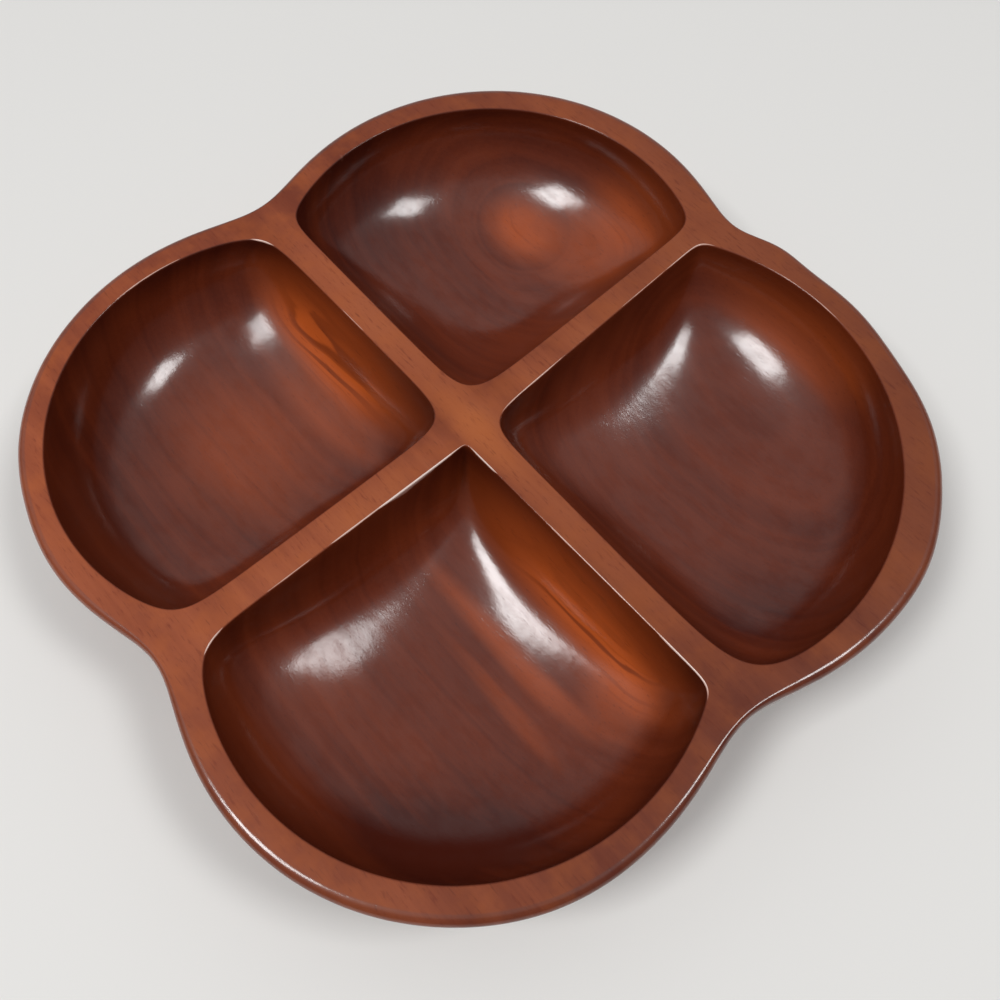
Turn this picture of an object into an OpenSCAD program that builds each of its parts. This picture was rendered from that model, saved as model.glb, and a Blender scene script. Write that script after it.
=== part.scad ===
// Divided serving bowl: a low four-lobed wooden dish with four open compartments.
// It is carved from a blank of three boards, glued edge to edge along the grain.
// X runs along the grain, Y runs across the boards, and Z is up from the table.
// The dividers cross above the origin. A list of four goes by quadrant, in this order:
// rear right, rear left, front left, front right, where rear is +Y and right is +X.

/* [Blank] */
// Width of the middle board
middle_board_w = 94; // [60:1:120]
// Height of the rim above the table
bowl_h = 48; // [40:1:60]

/* [Outline] */
// Farthest reach of the lobes from the crossing, along X and along Y
lobe_reach = 143.2; // [125:0.1:160]
// How far short of that reach each lobe stops along X
trim_x = [0.5, 0.5, 0.5, 4]; // [0:0.5:6]
// How far short of that reach each lobe stops along Y
trim_y = [3.5, 0, 2, 0]; // [0:0.5:6]
// Radius of each lobe's outer curve
lobe_r = [94, 92, 90.5, 91]; // [84:0.5:100]
// Softness of the notch where two lobes meet
notch_soft = 8.7; // [4:0.1:14]
// How far the outline swells out or in at the directions in swell_at
swell_by = [-0.8, 0.8, 0.8, -2.1, 4]; // [-3:0.1:5]

/* [Outer wall] */
// How far the base stands in from the rim, all round
base_in = 30; // [20:1:36]
// Radius of the rounded outer edge of the rim
rim_edge_r = 2.6; // [1:0.1:4]

/* [Compartments] */
// Distance of each compartment's middle from the crossing, along X and along Y
pocket_c = 68.1; // [60:0.1:76]
// Width of the rim where each lobe reaches farthest along X
rim_x = [11, 11, 10.4, 9.6]; // [8:0.1:14]
// Width of the rim where each lobe reaches farthest along Y
rim_y = [10.8, 13, 10.4, 10.8]; // [8:0.1:14]
// Radius of each compartment's outer curve
arc_r = [90, 81, 79, 82.5]; // [74:0.5:100]
// Width of both dividers
divider_w = 11; // [8:0.5:16]
// Depth of the compartments below the rim
pocket_d = 37; // [28:1:38]
// Easing of the compartments' top edges
inner_edge = 0.7; // [0.3:0.1:1.5]
// How far each compartment's wall at the Y divider stands off its nominal place
off_x = [-7, 5.8, 3.6, -3.1]; // [-8:0.1:8]
// How far each compartment's wall at the X divider stands off its nominal place
off_y = [-3.3, -0.9, 1.1, 2.9]; // [-4:0.1:4]
// Slant of each wall at the Y divider, in degrees
slant_x = [-2.7, 1.5, 0.6, -0.7]; // [-4:0.1:4]
// Slant of each wall at the X divider, in degrees
slant_y = [-0.6, 0.8, 0, -0.4]; // [-2:0.1:2]
// How far the deepest place lies from each compartment's middle along X
deep_x = [-8, -2, -6, -14]; // [-14:1:8]
// How far the deepest place lies from each compartment's middle along Y
deep_y = [-11, -4, -3, -11]; // [-14:1:8]
// How squarely each compartment's walls turn into its floor
squareness = [2.9, 2.7, 4.1, 2.8]; // [2:0.1:6]

/* [Hidden] */
// Signs of X and Y in the four quadrants
side = [[1, 1], [-1, 1], [-1, -1], [1, -1]];
// Sharpness of the corners: at the crossing, at the Y divider, at the X divider
sharp = [[13, 45, 10], [9.5, 22, 25], [11.5, 17, 17], [70, 14, 35]];
// Sharpness that all corners fade to at the floor
floor_sharp = 2.5;
// Directions of these corners from a compartment's middle, and how wide each one acts
corner_at = [[-135, 140, -33], [-135, 125, -35], [-135, 125, -35], [-135, 125, -38]];
corner_spread = 35;
// Directions of the outline's swells from the crossing, and how wide each one is
swell_at = [-120, -32, 29, 59, 83];
swell_spread = [7.4, 10.5, 7.3, 8.2, 5.5];
// Roundness of the floors, as the second exponent of a compartment's section
floor_power = 1.8;
// How fast the corners soften with depth, and how fast the notches fade with the inset
soften_power = 7;
notch_fade_share = 0.7;
// Shape of the outer wall's section
belly_power = 1.9;
// Numbers of points and of levels
body_count = 112;
body_levels = 10;
edge_levels = 4;
sector_count = 20;
pocket_levels = 11;
level_power = 1.9;
floor_end_share = 0.08;
// How far the outline's points are drawn towards the four notches
crowding_share = 1 / 12;
// A direction that leans less than this towards a wall counts as running along it
least_lean = 0.01;
// One overrun serves every cut
overrun = 1;
mahogany = [0.53, 0.27, 0.19];

function lobe_x(q) = lobe_reach - trim_x[q] - lobe_r[q];
function lobe_y(q) = lobe_reach - trim_y[q] - lobe_r[q];
function arc_x(q) = lobe_reach - trim_x[q] - rim_x[q] - arc_r[q];
function arc_y(q) = lobe_reach - trim_y[q] - rim_y[q] - arc_r[q];

// Distance along direction a from the origin to the far side of a circle round (x, y)
function reach(x, y, r, a) =
    let (d = x * cos(a) + y * sin(a))
    d + sqrt(max(0, r * r - x * x - y * y + d * d));

function sum(v, i = 0) = i < len(v) ? v[i] + sum(v, i + 1) : 0;

// Angle between two directions, from -180 to 180
function turn(a, b) = (a - b + 540) % 360 - 180;

// The small swells that the hand left in the outline
function swell(a) = sum([for (i = [0 : len(swell_at) - 1])
    swell_by[i] * exp(-pow(turn(a, swell_at[i]) / swell_spread[i], 2))]);

// The four lobes joined by soft notches, as a distance from the crossing
function outline(a, soft) =
    let (
        far = [for (q = [0 : 3]) reach(side[q][0] * lobe_x(q), side[q][1] * lobe_y(q), lobe_r[q], a)],
        top = max(far)
    )
    top + soft * ln(sum([for (f = far) exp((f - top) / soft)])) + swell(a);

// Direction of point j: the points lie closer together near the four notches
function body_angle(j) =
    let (quarter = body_count / 4, part = floor(j / quarter), t = (j % quarter) / quarter)
    90 * (part + t - crowding_share * sin(360 * t));

function body_ring(inset, z) = [for (j = [0 : body_count - 1])
    let (a = body_angle(j), r = outline(a, notch_soft + inset * notch_fade_share) - inset)
    [r * cos(a), r * sin(a), z]];

// Height where the rounded edge of the rim begins
wall_top = bowl_h - rim_edge_r;

// Rises from 0 to 1 with soft ends
function ease(t) = t * t * (3 - 2 * t);

// The outer surface from the base up: the belly, then the rounded edge of the rim
function body_rings() = concat(
    [for (i = [0 : body_levels - 1])
        let (up = ease(i / body_levels), out = pow(1 - pow(1 - up, belly_power), 1 / belly_power))
        body_ring(base_in * (1 - out), wall_top * up)],
    [for (i = [0 : edge_levels])
        let (a = 90 * i / edge_levels)
        body_ring(rim_edge_r * (1 - cos(a)), wall_top + rim_edge_r * sin(a))]);

// Sharpness of compartment q's outline in direction a
function sharp_at(q, a) =
    let (w = [for (c = corner_at[q]) exp(-pow(turn(a, c) / corner_spread, 2) / 2)])
    (w * sharp[q]) / sum(w);

// Compartment q's edge: two divider walls and an arc, as a distance from its centre
function pocket_edge(q, a, fade) =
    let (
        x0 = pocket_c - divider_w / 2 - off_x[q],
        y0 = pocket_c - divider_w / 2 - off_y[q],
        to_x = x0 / max(least_lean, tan(slant_x[q]) * sin(a) - cos(a)),
        to_y = y0 / max(least_lean, tan(slant_y[q]) * cos(a) - sin(a)),
        to_arc = reach(arc_x(q) - pocket_c, arc_y(q) - pocket_c, arc_r[q], a),
        p = floor_sharp + (sharp_at(q, a) - floor_sharp) * pow(fade, soften_power),
        near = min(to_x, to_y, to_arc)
    )
    near * pow(pow(near / to_x, p) + pow(near / to_y, p) + pow(near / to_arc, p), -1 / p);

// Direction of point j: each sector runs from corner to corner, closest at the corners
function pocket_angle(q, j) =
    let (
        part = floor(j / sector_count),
        t = (j % sector_count) / sector_count,
        from = corner_at[q][[0, 2, 1][part]],
        to = [corner_at[q][2], corner_at[q][1], corner_at[q][0] + 360][part]
    )
    from + (to - from) * (1 - cos(180 * t)) / 2;

// A level ring of compartment q: its middle moves over the deepest place as it shrinks
function pocket_ring(q, size, grow, z) = [for (j = [0 : 3 * sector_count - 1])
    let (a = pocket_angle(q, j), r = size * pocket_edge(q, a, size) + grow, move = 1 - size * size)
    [pocket_c + deep_x[q] * move + r * cos(a), pocket_c + deep_y[q] * move + r * sin(a), z]];

// The hollow of compartment q in the first quadrant, from its floor to above the rim
function pocket_rings(q) = concat(
    [for (i = [pocket_levels : -1 : 0])
        let (
            size = max(floor_end_share, 1 - pow(i / pocket_levels, level_power)),
            deep = (pocket_d - inner_edge) * pow(1 - pow(size, squareness[q]), 1 / floor_power)
        )
        pocket_ring(q, size, 0, bowl_h - inner_edge - deep)],
    [pocket_ring(q, 1, inner_edge, bowl_h), pocket_ring(q, 1, inner_edge, bowl_h + overrun)]);

// A closed solid through rings of points, lowest ring first
module loft(rings) {
    n = len(rings[0]);
    last = (len(rings) - 1) * n;
    polyhedron(
        points = [for (ring = rings) each ring],
        faces = concat(
            [[for (j = [0 : n - 1]) j]],
            [[for (j = [n - 1 : -1 : 0]) last + j]],
            [for (i = [0 : len(rings) - 2], j = [0 : n - 1])
                let (a = i * n + j, b = i * n + (j + 1) % n)
                each [[a, a + n, b + n], [a, b + n, b]]]));
}

module pocket(q) {
    mirror([side[q][0] < 0 ? 1 : 0, 0, 0])
        mirror([0, side[q][1] < 0 ? 1 : 0, 0])
            loft(pocket_rings(q));
}

module carved_bowl() {
    difference() {
        loft(body_rings());
        for (q = [0 : 3]) {
            pocket(q);
        }
    }
}

// The part of the carved bowl that one board holds, from y0 to y1
module board(y0, y1) {
    reach_all = lobe_reach + overrun;
    intersection() {
        carved_bowl();
        translate([-reach_all, y0, -overrun])
            cube([2 * reach_all, y1 - y0, bowl_h + 2 * overrun]);
    }
}

module front_board() {
    color(mahogany)
        board(-lobe_reach - overrun, -middle_board_w / 2);
}

module middle_board() {
    color(mahogany)
        board(-middle_board_w / 2, middle_board_w / 2);
}

module rear_board() {
    color(mahogany)
        board(middle_board_w / 2, lobe_reach + overrun);
}

front_board();
middle_board();
rear_board();
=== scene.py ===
import math

import bmesh
import bpy
import numpy as np
from mathutils import Matrix, Vector
from mathutils.geometry import delaunay_2d_cdt


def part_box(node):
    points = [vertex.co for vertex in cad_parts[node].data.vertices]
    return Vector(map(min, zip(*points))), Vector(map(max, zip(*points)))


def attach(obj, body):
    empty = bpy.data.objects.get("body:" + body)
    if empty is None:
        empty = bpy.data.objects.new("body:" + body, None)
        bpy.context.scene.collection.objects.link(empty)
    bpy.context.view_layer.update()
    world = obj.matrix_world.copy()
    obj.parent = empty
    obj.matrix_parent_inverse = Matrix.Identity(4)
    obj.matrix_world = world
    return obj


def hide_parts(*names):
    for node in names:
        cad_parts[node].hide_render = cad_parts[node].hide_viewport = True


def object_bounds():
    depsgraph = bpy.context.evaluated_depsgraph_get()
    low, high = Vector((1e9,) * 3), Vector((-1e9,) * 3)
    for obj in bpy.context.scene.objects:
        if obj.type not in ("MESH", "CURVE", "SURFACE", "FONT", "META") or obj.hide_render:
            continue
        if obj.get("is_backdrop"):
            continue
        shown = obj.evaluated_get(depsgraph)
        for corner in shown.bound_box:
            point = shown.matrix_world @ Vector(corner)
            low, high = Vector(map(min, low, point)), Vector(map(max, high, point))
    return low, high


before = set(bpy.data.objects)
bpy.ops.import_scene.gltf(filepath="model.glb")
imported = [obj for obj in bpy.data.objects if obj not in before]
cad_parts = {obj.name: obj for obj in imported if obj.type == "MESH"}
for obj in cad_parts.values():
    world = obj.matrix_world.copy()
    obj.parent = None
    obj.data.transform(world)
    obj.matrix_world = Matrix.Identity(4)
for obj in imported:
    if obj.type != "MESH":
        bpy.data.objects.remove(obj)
cad_low, cad_high = (list(corner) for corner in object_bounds())


# Blank of three boards
# A low dish with four lobes, carved from three boards of a mahogany-like hardwood glued
# edge to edge along the grain. The outer wall swells out from a flat base to the rim,
# whose outer edge is rounded over by hand.

bowl_h = cad_high[2]
lobe_reach = 0.1432
# A list of four goes by quadrant: rear right, rear left, front left, front right
side = [(1, 1), (-1, 1), (-1, -1), (1, -1)]
trim_x = [0.0005, 0.0005, 0.0005, 0.004]
trim_y = [0.0035, 0, 0.002, 0]
lobe_r = [0.094, 0.092, 0.0905, 0.091]
notch_soft = 0.0087
notch_fade_share = 0.7
swell_at = [-120, -32, 29, 59, 83]
swell_spread = [7.4, 10.5, 7.3, 8.2, 5.5]
swell_by = [-0.0008, 0.0008, 0.0008, -0.0021, 0.004]
base_in = 0.030
base_ring_shares = [0.04, 0.3, 0.6, 0.85]
belly_power = 1.9
belly_levels = 26
# The rounded edge is worn, so it runs in farther than it runs down
rim_edge_r = 0.0026
rim_edge_in = 0.0036
rim_edge_levels = 10
crowding_share = 1 / 12


def lobe_middle(q):
    """Middle of a lobe's outer curve, as distances from the crossing"""
    return lobe_reach - trim_x[q] - lobe_r[q], lobe_reach - trim_y[q] - lobe_r[q]


def reach(x, y, r, a):
    """Distance along direction a from the origin to the far side of a circle round (x, y)"""
    d = x * np.cos(a) + y * np.sin(a)
    return d + np.sqrt(np.maximum(0, r * r - x * x - y * y + d * d))


def turn(a, at):
    """Degrees from direction at, itself in degrees, to direction a, from -180 to 180"""
    return (np.degrees(a) - at + 540) % 360 - 180


def swell(a):
    """The small swells that the hand left in the outline"""
    return sum(by * np.exp(-(turn(a, at) / spread) ** 2)
               for at, spread, by in zip(swell_at, swell_spread, swell_by))


def outline(a, soft):
    """The four lobes joined by soft notches, as a distance from the crossing"""
    far = []
    for q in range(4):
        x, y = lobe_middle(q)
        far.append(reach(side[q][0] * x, side[q][1] * y, lobe_r[q], a))
    top = np.max(far, axis=0)
    return top + soft * np.log(np.exp((np.array(far) - top) / soft).sum(0)) + swell(a)


def body_ring(inset, z, count):
    """One level ring of the outer wall: its points lie closer together near the notches"""
    t = np.arange(count) * 4 / count
    a = (t - crowding_share * np.sin(2 * math.pi * (t % 1))) * math.pi / 2
    r = outline(a, notch_soft + inset * notch_fade_share) - inset
    return np.column_stack([r * np.cos(a), r * np.sin(a), np.full(count, z)])


def body_rings(count):
    """The outer surface from the base's middle up to the flat of the rim"""
    wall_top = bowl_h - rim_edge_r
    base = body_ring(base_in, 0, count)
    rings = [base * share for share in base_ring_shares]
    for i in range(belly_levels):
        t = i / belly_levels
        up = t * t * (3 - 2 * t)
        out = (1 - (1 - up) ** belly_power) ** (1 / belly_power)
        rings.append(body_ring(base_in * (1 - out), wall_top * up, count))
    for i in range(rim_edge_levels + 1):
        a = math.pi / 2 * i / rim_edge_levels
        rings.append(body_ring(rim_edge_in * (1 - math.cos(a)), wall_top + rim_edge_r * math.sin(a), count))
    return rings


# Four compartments
# Hollows cut down between the rim and two crossing dividers, gouged and sanded by hand:
# steep walls that round into a dished floor. The dividers stand a little off centre and
# lean slightly, and each floor is deepest nearer the crossing.

pocket_c = 0.0681
rim_x = [0.011, 0.011, 0.0104, 0.0096]
rim_y = [0.0108, 0.013, 0.0104, 0.0108]
arc_r = [0.090, 0.081, 0.079, 0.0825]
divider_w = 0.011
pocket_d = 0.037
inner_edge = 0.0007
inner_edge_levels = 5
off_x = [-0.007, 0.0058, 0.0036, -0.0031]
off_y = [-0.0033, -0.0009, 0.0011, 0.0029]
slant_x = [-2.7, 1.5, 0.6, -0.7]
slant_y = [-0.6, 0.8, 0, -0.4]
deep_x = [-0.008, -0.002, -0.006, -0.014]
deep_y = [-0.011, -0.004, -0.003, -0.011]
squareness = [2.9, 2.7, 4.1, 2.8]
floor_power = 1.8
floor_end_share = 0.01
level_power = 1.9
sharp = [[13, 45, 10], [9.5, 22, 25], [11.5, 17, 17], [70, 14, 35]]
floor_sharp = 2.5
soften_power = 7
corner_at = [[-135, 140, -33], [-135, 125, -35], [-135, 125, -35], [-135, 125, -38]]
corner_spread = 35
least_lean = 0.01

# Where the top edge is rubbed through: direction, half width and strength
worn_at = [[(-148, 12, 0.55), (168, 12, 0.45), (150, 9, 0.55), (114, 22, 0.42)],
           [(81, 14, 0.42)],
           [(-13, 15, 0.5), (-50, 4, 0.65), (-88, 13, 0.4)],
           [(-151, 13, 1.0), (-170, 12, 0.6), (167, 10, 0.45), (144, 4, 0.6), (-133, 4, 0.75),
            (-88, 34, 0.5), (-57, 10, 0.75)]]
worn_rings = 8
worn_gain = 1.9
worn_loss_per_ring = 0.25

# Masks on the surface: how far the wood is a compartment's, how polished, and how worn
mask_names = ("inside", "gloss", "worn")
outer_wall_inside = 0.4
eased_rings = 3
satin_down_to = 0.3
polished_from = 0.65
satin_gloss = 0.35

# The flat of the rim and the wood's figure are laid out in millimetres
to_mm = 1000
flat_spacing = 2.0
same_point = 1e-6


def sharp_at(q, a):
    """Sharpness of a compartment's outline in direction a"""
    away = np.array([turn(a, corner) for corner in corner_at[q]])
    weight = np.exp(-(away / corner_spread) ** 2 / 2)
    return (weight * np.array(sharp[q])[:, None]).sum(0) / weight.sum(0)


def pocket_edge(q, a, fade):
    """A compartment's edge: two divider walls and an arc, as a distance from its middle"""
    x0 = pocket_c - divider_w / 2 - off_x[q]
    y0 = pocket_c - divider_w / 2 - off_y[q]
    to_x = x0 / np.maximum(least_lean, math.tan(math.radians(slant_x[q])) * np.sin(a) - np.cos(a))
    to_y = y0 / np.maximum(least_lean, math.tan(math.radians(slant_y[q])) * np.cos(a) - np.sin(a))
    arc_x = lobe_reach - trim_x[q] - rim_x[q] - arc_r[q]
    arc_y = lobe_reach - trim_y[q] - rim_y[q] - arc_r[q]
    to_arc = reach(arc_x - pocket_c, arc_y - pocket_c, arc_r[q], a)
    p = floor_sharp + (sharp_at(q, a) - floor_sharp) * fade ** soften_power
    near = np.minimum(np.minimum(to_x, to_y), to_arc)
    return near * ((near / to_x) ** p + (near / to_y) ** p + (near / to_arc) ** p) ** (-1 / p)


def pocket_angles(q, sector_count):
    """Directions round a compartment, closest together at its three corners"""
    corner = corner_at[q]
    stops = np.radians([corner[0], corner[2], corner[1], corner[0] + 360])
    t = (1 - np.cos(math.pi * np.arange(sector_count) / sector_count)) / 2
    return np.concatenate([stops[i] + (stops[i + 1] - stops[i]) * t for i in range(3)])


def pocket_ring(q, size, grow, z, a):
    """One level ring, whose middle moves over the deepest place as the ring shrinks"""
    r = size * pocket_edge(q, a, size) + grow
    move = 1 - size * size
    x = pocket_c + deep_x[q] * move + r * np.cos(a)
    y = pocket_c + deep_y[q] * move + r * np.sin(a)
    return np.column_stack([side[q][0] * x, side[q][1] * y, np.full(len(a), z)])


def pocket_rings(q, a, levels):
    """The hollow's surface from the flat of the rim, over the eased edge, to the floor's middle"""
    rings = []
    for i in range(inner_edge_levels):
        t = math.pi / 2 * i / inner_edge_levels
        grow = inner_edge * (1 - math.sin(t))
        rings.append(pocket_ring(q, 1, grow, bowl_h - inner_edge * (1 - math.cos(t)), a))
    for i in range(levels + 1):
        size = max(floor_end_share, 1 - (i / levels) ** level_power)
        deep = (pocket_d - inner_edge) * (1 - size ** squareness[q]) ** (1 / floor_power)
        rings.append(pocket_ring(q, size, 0, bowl_h - inner_edge - deep, a))
    return rings


def wear(q, a):
    """How far the varnish is rubbed through along a compartment's top edge in direction a"""
    worn = np.zeros(len(a))
    for at, spread, share in worn_at[q]:
        worn = np.maximum(worn, share * np.exp(-(turn(a, at) / spread) ** 4))
    return worn


def neighbours(count, start=0):
    """Each point of a closed ring with the next one"""
    return [(start + j, start + (j + 1) % count) for j in range(count)]


class Surface:
    """Points, faces and masks of the carved bowl, gathered ring by ring"""

    def __init__(self):
        self.points = []
        self.faces = []
        self.masks = {name: [] for name in mask_names}

    def add_ring(self, ring, inside=0.0, gloss=0.0, worn=0.0):
        start = len(self.points)
        self.points.extend(map(tuple, np.clip(ring, cad_low, cad_high)))
        for name, value in zip(mask_names, (inside, gloss, worn)):
            self.masks[name].extend(np.broadcast_to(value, len(ring)).tolist())
        return range(start, start + len(ring))

    def join(self, lower, upper):
        for j, k in neighbours(len(lower)):
            self.faces.append((lower[j], lower[k], upper[k], upper[j]))

    def close(self, ring, middle):
        self.faces.extend((ring[j], ring[k], middle) for j, k in neighbours(len(ring)))


def how_far_inside(polygon, xy):
    """Distance inside a ring that every ray from its mean point meets once, below 0 outside it"""
    middle = polygon.mean(0)
    d = polygon - middle
    order = np.argsort(np.arctan2(d[:, 1], d[:, 0]))
    angle = np.arctan2(d[order, 1], d[order, 0])
    radius = np.hypot(d[order, 0], d[order, 1])
    e = xy - middle
    edge = np.interp(np.arctan2(e[:, 1], e[:, 0]), angle, radius, period=2 * math.pi)
    return edge - np.hypot(e[:, 0], e[:, 1])


def face_sides(face):
    """The pairs of points that a face's sides join"""
    return [frozenset(pair) for pair in zip(face, face[1:] + face[:1])]


def reached_faces(faces, borders, first):
    """Numbers of the faces that can be reached from the first one without crossing a border"""
    touching = {}
    for number, face in enumerate(faces):
        for pair in face_sides(face):
            touching.setdefault(pair, []).append(number)
    reached = {first}
    waiting = [first]
    while waiting:
        for pair in face_sides(faces[waiting.pop()]):
            if pair not in borders:
                new = [number for number in touching[pair] if number not in reached]
                reached.update(new)
                waiting.extend(new)
    return sorted(reached)


def flat_of_rim(surface, outer_loop, pocket_loops):
    """Triangles between the outer edge and the four compartments, with points of their own"""
    loops = [outer_loop] + pocket_loops
    boundary = []
    edges = []
    for loop in loops:
        edges.extend(neighbours(len(loop), len(boundary)))
        boundary.extend(loop)
    flat = [Vector(surface.points[index][:2]) * to_mm for index in boundary]
    polygons = [np.array([surface.points[index][:2] for index in loop]) * to_mm for loop in loops]
    span = lobe_reach * to_mm
    grid = np.arange(-span, span, flat_spacing)
    gx, gy = np.meshgrid(grid, grid)
    xy = np.column_stack([gx.ravel(), gy.ravel()])
    keep = how_far_inside(polygons[0], xy) > flat_spacing
    for polygon in polygons[1:]:
        keep &= how_far_inside(polygon, xy) < -flat_spacing
    flat.extend(Vector(p) for p in xy[keep])
    verts, _, faces, _, _, _ = delaunay_2d_cdt(flat, edges, [], 1, same_point)
    own = surface.add_ring([(v.x / to_mm, v.y / to_mm, bowl_h) for v in verts[len(boundary):]])
    index = boundary + list(own)
    borders = {frozenset(edge) for edge in edges}
    on_the_flat = next(number for number, face in enumerate(faces) if max(face) >= len(boundary))
    for number in reached_faces(faces, borders, on_the_flat):
        surface.faces.append(tuple(index[i] for i in faces[number]))


def carve_outside(surface, count):
    """The outer wall and the base, as far as the ring where the flat of the rim begins"""
    rings = body_rings(count)
    middle = surface.add_ring([(0.0, 0.0, 0.0)], outer_wall_inside)[0]
    loops = [surface.add_ring(ring, outer_wall_inside, 1.0) for ring in rings[:-1]]
    loops.append(surface.add_ring(rings[-1]))
    surface.close(loops[0][::-1], middle)
    for lower, upper in zip(loops, loops[1:]):
        surface.join(lower, upper)
    return loops[-1]


def carve_pocket(surface, q, sector_count, levels):
    """One compartment, from the ring where the flat of the rim ends down to its floor"""
    a = pocket_angles(q, sector_count)
    worn = wear(q, a)
    loops = []
    for i, ring in enumerate(pocket_rings(q, a, levels)):
        rubbed = np.clip(worn_gain * worn - worn_loss_per_ring * i, 0, 1) if 0 < i < worn_rings else 0.0
        down = (bowl_h - ring[0][2]) / pocket_d
        eased = min(1.0, i / eased_rings)
        polish = eased * np.interp(down, [satin_down_to, polished_from], [satin_gloss, 1.0])
        loops.append(surface.add_ring(ring, eased, polish, rubbed))
    for lower, upper in zip(loops, loops[1:]):
        surface.join(lower, upper)
    last = loops[-1]
    floor = np.mean([surface.points[i] for i in last], axis=0)
    surface.close(last, surface.add_ring([floor], 1.0, 1.0)[0])
    return loops[0]


def carve_bowl():
    """The whole surface of the carved bowl, with its masks"""
    body_count = 720
    sector_count = 160
    pocket_levels = 48
    surface = Surface()
    outer_loop = carve_outside(surface, body_count)
    pocket_loops = [carve_pocket(surface, q, sector_count, pocket_levels) for q in range(4)]
    flat_of_rim(surface, outer_loop, pocket_loops)
    mesh = bpy.data.meshes.new("carved_bowl")
    mesh.from_pydata(surface.points, [], surface.faces)
    for name, values in surface.masks.items():
        mesh.attributes.new(name, "FLOAT", "POINT").data.foreach_set("value", values)
    bm = bmesh.new()
    bm.from_mesh(mesh)
    bpy.data.meshes.remove(mesh)
    bmesh.ops.recalc_face_normals(bm, faces=bm.faces)
    return bm


# Joints between the boards
# Each joint is a flat glued face square to the width. The three boards are the carved
# bowl parted at those faces, so the wood's figure and the surface run on across them.

joint_y = [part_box("middle_board")[0][1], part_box("middle_board")[1][1]]
on_the_joint = 1e-7
weld_within = 1e-6


def part_boards(bm):
    """Cuts the carved surface at both joints and keeps its normals in a layer"""
    for y in joint_y:
        geom = bm.verts[:] + bm.edges[:] + bm.faces[:]
        bmesh.ops.bisect_plane(bm, geom=geom, dist=on_the_joint, plane_co=(0, y, 0), plane_no=(0, 1, 0))
    bmesh.ops.remove_doubles(bm, verts=bm.verts, dist=weld_within)
    bm.normal_update()
    layer = bm.verts.layers.float_vector.new("surface_normal")
    for v in bm.verts:
        v[layer] = v.normal


def make_board(carved, name, low, high, material):
    """One board: the surface between two joints, closed by its glued faces"""
    bm = carved.copy()
    wrong = [f for f in bm.faces if not low < f.calc_center_median().y < high]
    bmesh.ops.delete(bm, geom=wrong, context="FACES")
    open_edges = [e for e in bm.edges if len(e.link_faces) == 1]
    glued = bmesh.ops.holes_fill(bm, edges=open_edges, sides=0)["faces"]
    glued = bmesh.ops.triangulate(bm, faces=glued, ngon_method="BEAUTY")["faces"]
    bmesh.ops.recalc_face_normals(bm, faces=bm.faces)
    bm.faces.index_update()
    glued_numbers = {f.index for f in glued}
    layer = bm.verts.layers.float_vector["surface_normal"]
    normals = []
    for f in bm.faces:
        f.smooth = True
        flat = f.index in glued_numbers
        normals.extend(tuple(f.normal) if flat else tuple(loop.vert[layer]) for loop in f.loops)
    mesh = bpy.data.meshes.new(name)
    bm.to_mesh(mesh)
    bm.free()
    mesh.normals_split_custom_set(normals)
    mesh.attributes.remove(mesh.attributes["surface_normal"])
    mesh.materials.append(material)
    board = bpy.data.objects.new(name + "_carved", mesh)
    bpy.context.scene.collection.objects.link(board)
    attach(board, "root")
    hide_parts(name)


# Varnished hardwood
# One figure runs through the three boards: growth rings round a heart line below the
# rear lobes, long fibre streaks and short pores. Clear varnish is glossy in the
# compartments and rubbed to satin on the rim, and worn off along the edges. Light and
# shade are painted into the colour too: shade on the rim's ends and front and on a near
# wall, a rim lighter toward the front left, and a little sheen in the rim's colours.

figure_parts = ("Tone", "Amber", "Lines", "Pores", "Fibre")
heart_y = 115.0
heart_z = -40.0
ring_drift = 0.02
knot_middle = (-76, 91, 14)
knot_stretch = (1.2, 1, 1)
knot_reach = (42, 16)
knot_share = 0.5
# Shares of the broad rings, the narrow rings, the fibre and the soft clouds in the tone
tone_shares = (0.36, 0.13, 0.16, 0.6)
tone_middle = 0.5
# The flames follow the broad rings, and the dark lines in them follow rings of their own
flame_floor = 0.6
flame_share = 0.8
line_offset = 43
line_edge = (0.5, 0.72)
pore_edge = (0.60, 0.76)

# Patches in the figure: middle, half sizes and strength, in millimetres
amber_patches = [((64, -14, 30), (62, 17, 26), 0.62), ((78, -18, 23), (42, 10, 12), 0.6),
                 ((-70, -14, 30), (54, 17, 26), 0.6), ((-76, -17, 23), (42, 11, 13), 0.55),
                 ((-60, -28, 16), (42, 13, 10), 0.3), (knot_middle, (19, 15, 10), 0.55),
                 ((-45, 104, 20), (30, 24, 18), 0.35), ((-38, 120, 32), (30, 18, 18), 0.35),
                 ((3, -1.5, 48), (28, 7, 6), 0.6), ((64, -41, 13), (56, 5.5, 12), 0.35),
                 ((76, -54, 13), (40, 4, 10), 0.2), ((-66, -62, 12), (44, 34, 12), 0.2),
                 ((52, 122, 34), (50, 14, 16), 0.36), ((102, -26, 21), (20, 16, 12), 0.3)]
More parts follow.
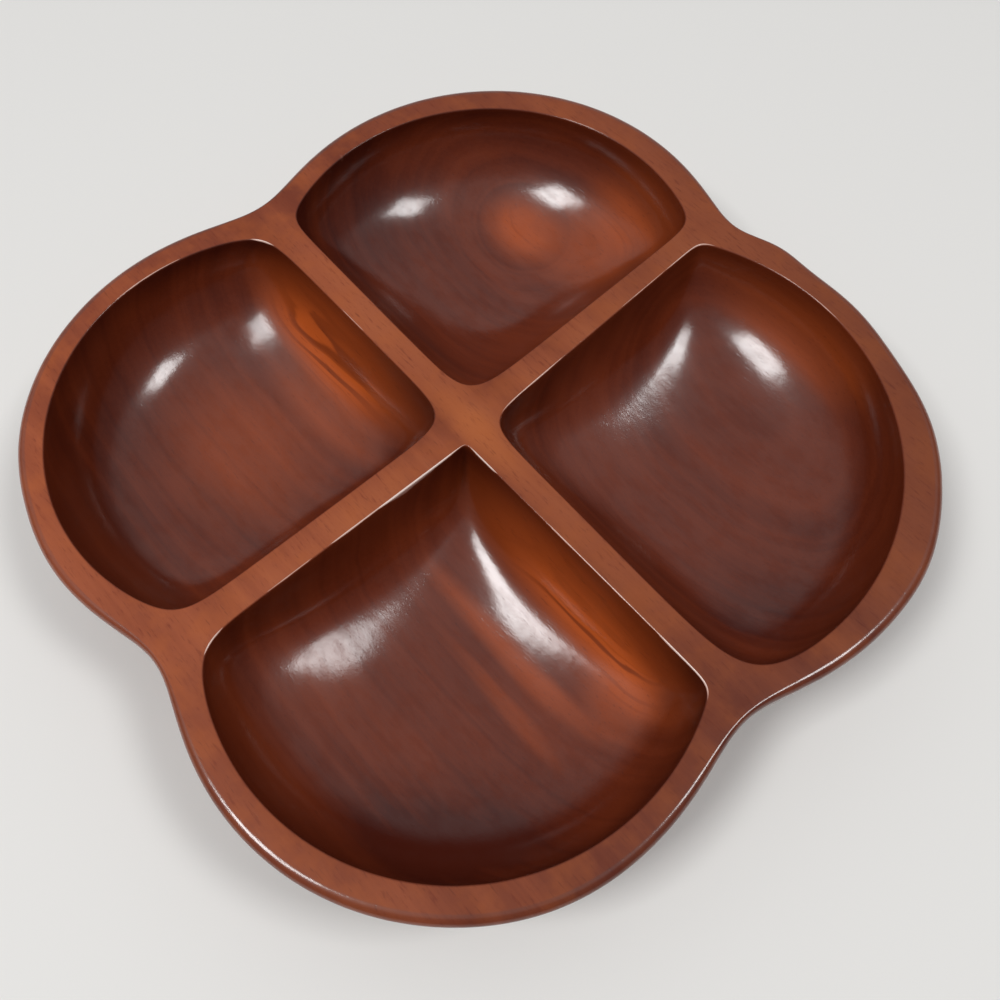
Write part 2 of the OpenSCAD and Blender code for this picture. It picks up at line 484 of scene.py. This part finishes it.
# Painted shade in the tone: the near wall of the front right compartment, the rim's left and right ends and
# the front of the rim are darkened where less light falls. The other patches darken the walls at the left
# and right ends, lighten the dividers' tops and lift two floors.
tone_and_painted_shade_patches = [((98, -98, 28), (52, 52, 17), -0.35), ((112, 30, 28), (20, 30, 26), -0.2),
                 ((-110, 30, 30), (26, 36, 26), -0.2), ((-66, -62, 12), (44, 34, 12), 0.1),
                 ((0, 0, 48), (150, 9, 4), 0.18), ((0, 0, 48), (9, 150, 4), 0.18),
                 ((24, -100, 16), (24, 24, 10), 0.12), ((-140, 5, 48), (46, 165, 12), -0.27),
                 ((140, -38, 48), (42, 82, 12), -0.3), ((62, -136, 48), (48, 30, 10), -0.14)]
scuff_patches = [((21, -84, 18), (22, 34, 14), 0.35), ((84, -24, 18), (18, 14, 12), 0.5),
                 ((-110, -30, 19), (12, 12, 10), 0.5)]
patch_edge = (1.2, 0.2)

# Colours from the darkest tone to the palest, then what lies over them
hollow_shades = [(0.2, (0.052, 0.0060, 0.0018)), (0.42, (0.090, 0.0125, 0.0030)),
                 (0.6, (0.125, 0.0195, 0.0050)), (0.85, (0.165, 0.0290, 0.0080))]
hollow_amber = (0.47, 0.087, 0.0140, 1)
dark_line = (0.085, 0.0110, 0.0028, 1)
dark_line_share = 0.6
# The rim's colours: the wood's own, with a little painted sheen added in their green and blue
rim_shades_with_painted_sheen = [(0.15, (0.138, 0.028, 0.0120)), (0.42, (0.200, 0.046, 0.0180)),
              (0.6, (0.252, 0.062, 0.0240)), (0.9, (0.325, 0.090, 0.0330))]
rim_amber = (0.40, 0.110, 0.031, 1)
rim_speck = (0.105, 0.013, 0.0055, 1)
speck_edge = (0.55, 0.75)
speck_share = 0.55
speck_loss_in_mottle = -0.35
rim_mottle = (0.33, 0.082, 0.0190, 1)
mottle_edge = (0.42, 0.7)
mottle_share = 0.3
# Painted light: the rim and dividers turn lighter toward the front left and darker toward the rear right
rim_painted_light_per_mm = -0.0013
pore_colour = (0.045, 0.006, 0.003, 1)
pore_share = 0.3
rubbed_wood = (0.42, 0.19, 0.13, 1)
bare_wood = (0.86, 0.70, 0.64, 1)
rubbed_edge = (0.25, 0.5)

# Finish: a pair gives the value where the varnish is satin, then where it is polished
wood_roughness = (0.50, 0.42)
fibre_roughness = 0.2
wood_ior = 1.5
wood_specular = 0.12
coat_weight = (0.26, 1.0)
coat_roughness = 0.15
scuff_edge = (0.42, 0.66)
scuff_share = 0.24
# Heights of the varnish's ripple, its pebble, the raised hairs and the pores, in millimetres
rises = (0.05, 0.016, 0.012, -0.008)
bump_unit = 0.001


def join_socket(tree, socket, value):
    """Links a socket to another one, or sets it to a plain value"""
    if isinstance(value, bpy.types.NodeSocket):
        tree.links.new(value, socket)
    else:
        socket.default_value = value


def put(tree, kind, inputs, **settings):
    """Adds a node with its settings, and links or sets its inputs"""
    node = tree.nodes.new(kind)
    for name, value in settings.items():
        setattr(node, name, value)
    for key, value in inputs.items():
        join_socket(tree, node.inputs[key], value)
    return node


def calc(tree, operation, *values):
    return put(tree, "ShaderNodeMath", dict(enumerate(values)), operation=operation).outputs[0]


def vector_calc(tree, operation, *values):
    return put(tree, "ShaderNodeVectorMath", dict(enumerate(values)), operation=operation).outputs[0]


def scaled(tree, vector, by):
    return put(tree, "ShaderNodeVectorMath", {0: vector, "Scale": by}, operation="SCALE").outputs[0]


def length(tree, vector):
    return put(tree, "ShaderNodeVectorMath", {0: vector}, operation="LENGTH").outputs["Value"]


def add_share(tree, base, part, share):
    """The base and a share of how far a part lies from its mean of 0.5"""
    return calc(tree, "MULTIPLY_ADD", calc(tree, "SUBTRACT", part, 0.5), share, base)


def noise(tree, place, scale, detail=2.0, roughness=0.5, squeeze=None):
    """Noise in three directions: a squeeze below 1 draws it out along the grain"""
    if squeeze:
        place = vector_calc(tree, "MULTIPLY", place, (squeeze, 1, 1))
    inputs = {"Vector": place, "Scale": scale, "Detail": detail, "Roughness": roughness}
    return put(tree, "ShaderNodeTexNoise", inputs).outputs


def line_noise(tree, along, scale, detail=2.0, roughness=0.5):
    """Noise along one measure, for rings and lines"""
    inputs = {"W": along, "Scale": scale, "Detail": detail, "Roughness": roughness}
    return put(tree, "ShaderNodeTexNoise", inputs, noise_dimensions="1D").outputs[0]


def sway(tree, place, most, scale, squeeze):
    """How far the figure wanders across the grain, up to half of most either way"""
    wander = noise(tree, place, scale, squeeze=squeeze)["Color"]
    wander = vector_calc(tree, "SUBTRACT", wander, (0.5, 0.5, 0.5))
    return vector_calc(tree, "MULTIPLY", wander, (0, most, most))


def step(tree, value, low, high):
    """Rises from 0 at low to 1 at high, with soft ends"""
    return put(tree, "ShaderNodeMapRange", {"Value": value, "From Min": low, "From Max": high},
               interpolation_type="SMOOTHSTEP").outputs[0]


def between(tree, value, ends):
    """Goes evenly from the first end, where the value is 0, to the second, where it is 1"""
    ends = {"Value": value, "To Min": ends[0], "To Max": ends[1]}
    return put(tree, "ShaderNodeMapRange", ends).outputs[0]


def blend(tree, factor, a, b):
    return put(tree, "ShaderNodeMix", {0: factor, 6: a, 7: b}, data_type="RGBA").outputs[2]


def ramp(tree, value, stops):
    """Runs through colours at given stops"""
    node = put(tree, "ShaderNodeValToRGB", {0: value})
    points = node.color_ramp.elements
    while len(points) < len(stops):
        points.new(0.5)
    for point, (at, colour) in zip(points, stops):
        point.position = at
        point.color = (*colour, 1)
    return node.outputs[0]


def patches(tree, place, listing):
    """Sum of soft-edged patches, each given by its middle, half sizes and strength"""
    total = 0.0
    for middle, size, share in listing:
        away = length(tree, vector_calc(tree, "DIVIDE", vector_calc(tree, "SUBTRACT", place, middle), size))
        total = calc(tree, "MULTIPLY_ADD", step(tree, away, *patch_edge), share, total)
    return total


def new_group(name, given_name, results):
    """An empty node group that takes one place and puts out values"""
    group = bpy.data.node_groups.new(name, "ShaderNodeTree")
    group.interface.new_socket(given_name, in_out="INPUT", socket_type="NodeSocketVector")
    for result in results:
        group.interface.new_socket(result, in_out="OUTPUT", socket_type="NodeSocketFloat")
    return group, group.nodes.new("NodeGroupInput"), group.nodes.new("NodeGroupOutput")


def knot_rings(tree, warped):
    """The rings round the knot-like figure, which fade out away from it"""
    away = vector_calc(tree, "DIVIDE", vector_calc(tree, "SUBTRACT", warped, knot_middle), knot_stretch)
    away = length(tree, away)
    rings = calc(tree, "SUBTRACT", line_noise(tree, away, scale=0.2), 0.5)
    return calc(tree, "MULTIPLY", rings, step(tree, away, *knot_reach))


def wood_figure():
    """The figure as values: tone, amber flames, dark lines in them, pores and fibre; the tone also holds
    patches of painted shade
    """
    group, given, result = new_group("wood_figure", "Place", figure_parts)
    place = given.outputs["Place"]
    warped = vector_calc(group, "ADD", place, sway(group, place, most=9, scale=0.02, squeeze=0.4))
    warped = vector_calc(group, "ADD", warped, sway(group, place, most=3, scale=0.11, squeeze=0.2))
    x, y, z = put(group, "ShaderNodeSeparateXYZ", {0: warped}).outputs
    across = calc(group, "SUBTRACT", y, heart_y)
    down = calc(group, "SUBTRACT", z, heart_z)
    from_heart = calc(group, "SQRT", calc(group, "ADD", calc(group, "MULTIPLY", across, across),
                                          calc(group, "MULTIPLY", down, down)))
    ring = calc(group, "MULTIPLY_ADD", x, ring_drift, from_heart)
    broad = line_noise(group, ring, scale=0.11)
    narrow = line_noise(group, ring, scale=0.42, roughness=0.55)
    fibre = noise(group, place, scale=0.8, detail=4.0, roughness=0.6, squeeze=0.05)[0]
    cloud = noise(group, place, scale=0.03, squeeze=0.5)[0]
    # The tone takes its patches here, painted shade among them
    tone = calc(group, "ADD", patches(group, warped, tone_and_painted_shade_patches), tone_middle)
    for part, share in zip((broad, narrow, fibre, cloud), tone_shares):
        tone = add_share(group, tone, part, share)
    tone = calc(group, "MULTIPLY_ADD", knot_rings(group, warped), knot_share, tone)
    flames = calc(group, "MULTIPLY", patches(group, warped, amber_patches),
                  calc(group, "MULTIPLY_ADD", broad, flame_share, flame_floor))
    amber = calc(group, "MINIMUM", flames, 1.0)
    other_rings = line_noise(group, calc(group, "ADD", ring, line_offset), scale=0.85, detail=1.0)
    lines = step(group, other_rings, *line_edge)
    pores = step(group, noise(group, place, scale=1.6, squeeze=0.13)[0], *pore_edge)
    for name, value in zip(figure_parts, (tone, amber, lines, pores, fibre)):
        group.links.new(value, result.inputs[name])
    return group


def hollow_colour(tree, tone, amber, lines):
    """The deep red brown of the compartments and the outer wall, with its amber flames"""
    colour = blend(tree, amber, ramp(tree, tone, hollow_shades), hollow_amber)
    dark = calc(tree, "MULTIPLY", calc(tree, "MULTIPLY", amber, amber),
                calc(tree, "MULTIPLY", lines, dark_line_share))
    return blend(tree, dark, colour, dark_line)


def rim_colour(tree, place, tone, amber):
    """The paler, sanded rim and dividers, with their specks and mottle, a little painted sheen, and painted
    light that makes them lighter toward the front left and darker toward the rear right
    """
    colour = blend(tree, amber, ramp(tree, tone, rim_shades_with_painted_sheen), rim_amber)
    mottle = step(tree, noise(tree, place, scale=0.07, detail=3.0, roughness=0.6)[0], *mottle_edge)
    specks = noise(tree, place, scale=0.9, detail=3.0, roughness=0.65, squeeze=0.16)[0]
    specks = calc(tree, "MULTIPLY", step(tree, specks, *speck_edge),
                  calc(tree, "MULTIPLY_ADD", mottle, speck_loss_in_mottle, speck_share))
    colour = blend(tree, specks, colour, rim_speck)
    colour = blend(tree, calc(tree, "MULTIPLY", mottle, mottle_share), colour, rim_mottle)
    # Painted light across the rim and dividers: lighter toward the front left, darker toward the rear right
    x, y, _ = put(tree, "ShaderNodeSeparateXYZ", {0: place}).outputs
    return scaled(tree, colour, calc(tree, "MULTIPLY_ADD", calc(tree, "ADD", x, y), rim_painted_light_per_mm, 1.0))


def wear_through(tree, place, worn, colour):
    """Rubbed wood along the worn edges, bare and pale where they are worn most"""
    gaps = noise(tree, place, scale=0.11, detail=3.0, roughness=0.6)[0]
    rubbed = step(tree, add_share(tree, worn, gaps, 1.0), *rubbed_edge)
    under = blend(tree, calc(tree, "MULTIPLY", worn, worn), rubbed_wood, bare_wood)
    return blend(tree, rubbed, colour, under)


def varnish_height(tree, place, pores):
    """The fine relief of the surface: ripple, pebble, hairs and pores, in millimetres"""
    ripple = noise(tree, place, scale=0.14, detail=1.0)[0]
    pebble = noise(tree, place, scale=0.55, detail=3.0, roughness=0.55, squeeze=0.55)[0]
    hairs = noise(tree, place, scale=1.3, roughness=0.6, squeeze=0.3)[0]
    height = 0.0
    for part, rise in zip((ripple, pebble, hairs, pores), rises):
        height = calc(tree, "MULTIPLY_ADD", part, rise, height)
    return height


def varnished_wood():
    """The finish of all three boards: the figure, the wear and the varnish over them"""
    material = bpy.data.materials.new("varnished_wood")
    material.use_nodes = True
    tree = material.node_tree
    tree.nodes.clear()
    place = scaled(tree, put(tree, "ShaderNodeTexCoord", {}).outputs["Object"], to_mm)
    figure = put(tree, "ShaderNodeGroup", {"Place": place}, node_tree=wood_figure())
    tone, amber, lines, pores, fibre = (figure.outputs[name] for name in figure_parts)
    inside, gloss, worn = (put(tree, "ShaderNodeAttribute", {}, attribute_name=name).outputs["Fac"]
                           for name in mask_names)
    rim = rim_colour(tree, place, tone, amber)
    colour = blend(tree, inside, rim, hollow_colour(tree, tone, amber, lines))
    colour = blend(tree, calc(tree, "MULTIPLY", pores, pore_share), colour, pore_colour)
    colour = wear_through(tree, place, worn, colour)
    roughness = add_share(tree, between(tree, gloss, wood_roughness), fibre, fibre_roughness)
    scuffs = noise(tree, place, scale=0.18, detail=3.0, roughness=0.6, squeeze=0.5)[0]
    dulled = calc(tree, "MULTIPLY_ADD", step(tree, scuffs, *scuff_edge), scuff_share,
                  patches(tree, place, scuff_patches))
    coat = calc(tree, "MULTIPLY", between(tree, gloss, coat_weight), calc(tree, "SUBTRACT", 1.0, dulled))
    height = varnish_height(tree, place, pores)
    bump = put(tree, "ShaderNodeBump",
               {"Strength": 1.0, "Distance": bump_unit, "Height": height}).outputs[0]
    shader = put(tree, "ShaderNodeBsdfPrincipled",
                 {"Base Color": colour, "Roughness": roughness, "Normal": bump,
                  "IOR": wood_ior, "Specular IOR Level": wood_specular,
                  "Coat Weight": coat, "Coat Roughness": coat_roughness, "Coat Normal": bump})
    put(tree, "ShaderNodeOutputMaterial", {"Surface": shader.outputs[0]})
    return material


carved = carve_bowl()
part_boards(carved)
wood = varnished_wood()
beyond = 2 * lobe_reach
make_board(carved, "front_board", -beyond, joint_y[0], wood)
make_board(carved, "middle_board", joint_y[0], joint_y[1], wood)
make_board(carved, "rear_board", joint_y[1], beyond, wood)
carved.free()


# Studio
# A plain pale table top, a soft pale surround and two ceiling panels, seen from the
# photograph's place: close to the dish, a little in front of it and well above.

table_r = 2.0
table_corner_every = 3
table_colour = (0.735, 0.73, 0.71, 1)
table_roughness = 0.8
table = bpy.data.meshes.new("table_top")
table_edge = [(table_r * math.cos(math.radians(a)), table_r * math.sin(math.radians(a)), 0)
              for a in range(0, 360, table_corner_every)]
table.from_pydata(table_edge, [], [range(len(table_edge))])
table_top = bpy.data.objects.new("table_top", table)
bpy.context.scene.collection.objects.link(table_top)
pale = bpy.data.materials.new("pale_table")
pale.use_nodes = True
pale.node_tree.nodes["Principled BSDF"].inputs["Base Color"].default_value = table_colour
pale.node_tree.nodes["Principled BSDF"].inputs["Roughness"].default_value = table_roughness
table.materials.append(pale)
table_top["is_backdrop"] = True

# The soft light comes from a broad round patch of ceiling, and a little from all round
ceiling_middle = (-0.317, 0.183, 0.930)
ceiling_light = [(0.0, (0.13, 0.13, 0.135)), (0.53, (0.15, 0.15, 0.155)),
                 (0.65, (0.50, 0.495, 0.50)), (1.0, (0.50, 0.495, 0.50))]
# What the camera sees past the table, and mirrors and glass see close to the horizon
surround_colour = (0.74, 0.735, 0.715, 1)
horizon_band = (0.14, 0.08)
world = bpy.data.worlds.new("soft_surround")
world.use_nodes = True
sky = world.node_tree
direction = put(sky, "ShaderNodeTexCoord", {}).outputs["Generated"]
towards = put(sky, "ShaderNodeVectorMath", {0: direction, 1: ceiling_middle}, operation="DOT_PRODUCT")
glow = ramp(sky, towards.outputs["Value"], ceiling_light)
rays = put(sky, "ShaderNodeLightPath", {}).outputs
level = put(sky, "ShaderNodeSeparateXYZ", {0: direction}).outputs[2]
mirrored = calc(sky, "MULTIPLY", calc(sky, "MAXIMUM", rays["Is Glossy Ray"], rays["Is Transmission Ray"]),
                step(sky, level, *horizon_band))
seen = calc(sky, "MAXIMUM", rays["Is Camera Ray"], mirrored)
join_socket(sky, sky.nodes["Background"].inputs["Color"], blend(sky, seen, glow, surround_colour))
bpy.context.scene.world = world


def ceiling_panel(name, place, size, power):
    """A square lamp that faces the middle of the dish"""
    lamp = bpy.data.lights.new(name, "AREA")
    lamp.shape = "SQUARE"
    lamp.size = size
    lamp.energy = power
    panel = bpy.data.objects.new(name, lamp)
    panel.location = place
    panel.rotation_euler = (-Vector(place)).to_track_quat("-Z", "Y").to_euler()
    bpy.context.scene.collection.objects.link(panel)


ceiling_panel("panel_right", (1.0, 0.83, 2.19), size=0.58, power=20)
ceiling_panel("panel_left", (-0.32, -1.11, 2.03), size=0.62, power=26)

camera_azimuth = math.radians(49.09)
camera_elevation = math.radians(64.83)
camera_roll = math.radians(-0.71)
camera_distance = 0.3215
camera_lens = 34.2
camera_sensor = 36
camera_nearest = 0.01
camera_aim = Vector((0.02725, -0.01433, bowl_h))
forward = Vector((-math.sin(camera_azimuth) * math.cos(camera_elevation),
                  math.cos(camera_azimuth) * math.cos(camera_elevation), -math.sin(camera_elevation)))
right = Vector((math.cos(camera_azimuth), math.sin(camera_azimuth), 0))
up = right.cross(forward)
rolled_right = math.cos(camera_roll) * right + math.sin(camera_roll) * up
rolled_up = -math.sin(camera_roll) * right + math.cos(camera_roll) * up
camera_turn = Matrix((rolled_right, rolled_up, -forward)).transposed().to_4x4()
camera_data = bpy.data.cameras.new("camera")
camera_data.sensor_width = camera_sensor
camera_data.lens = camera_lens
camera_data.clip_start = camera_nearest
camera = bpy.data.objects.new("camera", camera_data)
camera.matrix_world = Matrix.Translation(camera_aim - forward * camera_distance) @ camera_turn
bpy.context.scene.collection.objects.link(camera)
bpy.context.scene.camera = camera
bpy.context.scene.view_settings.view_transform = "Standard"
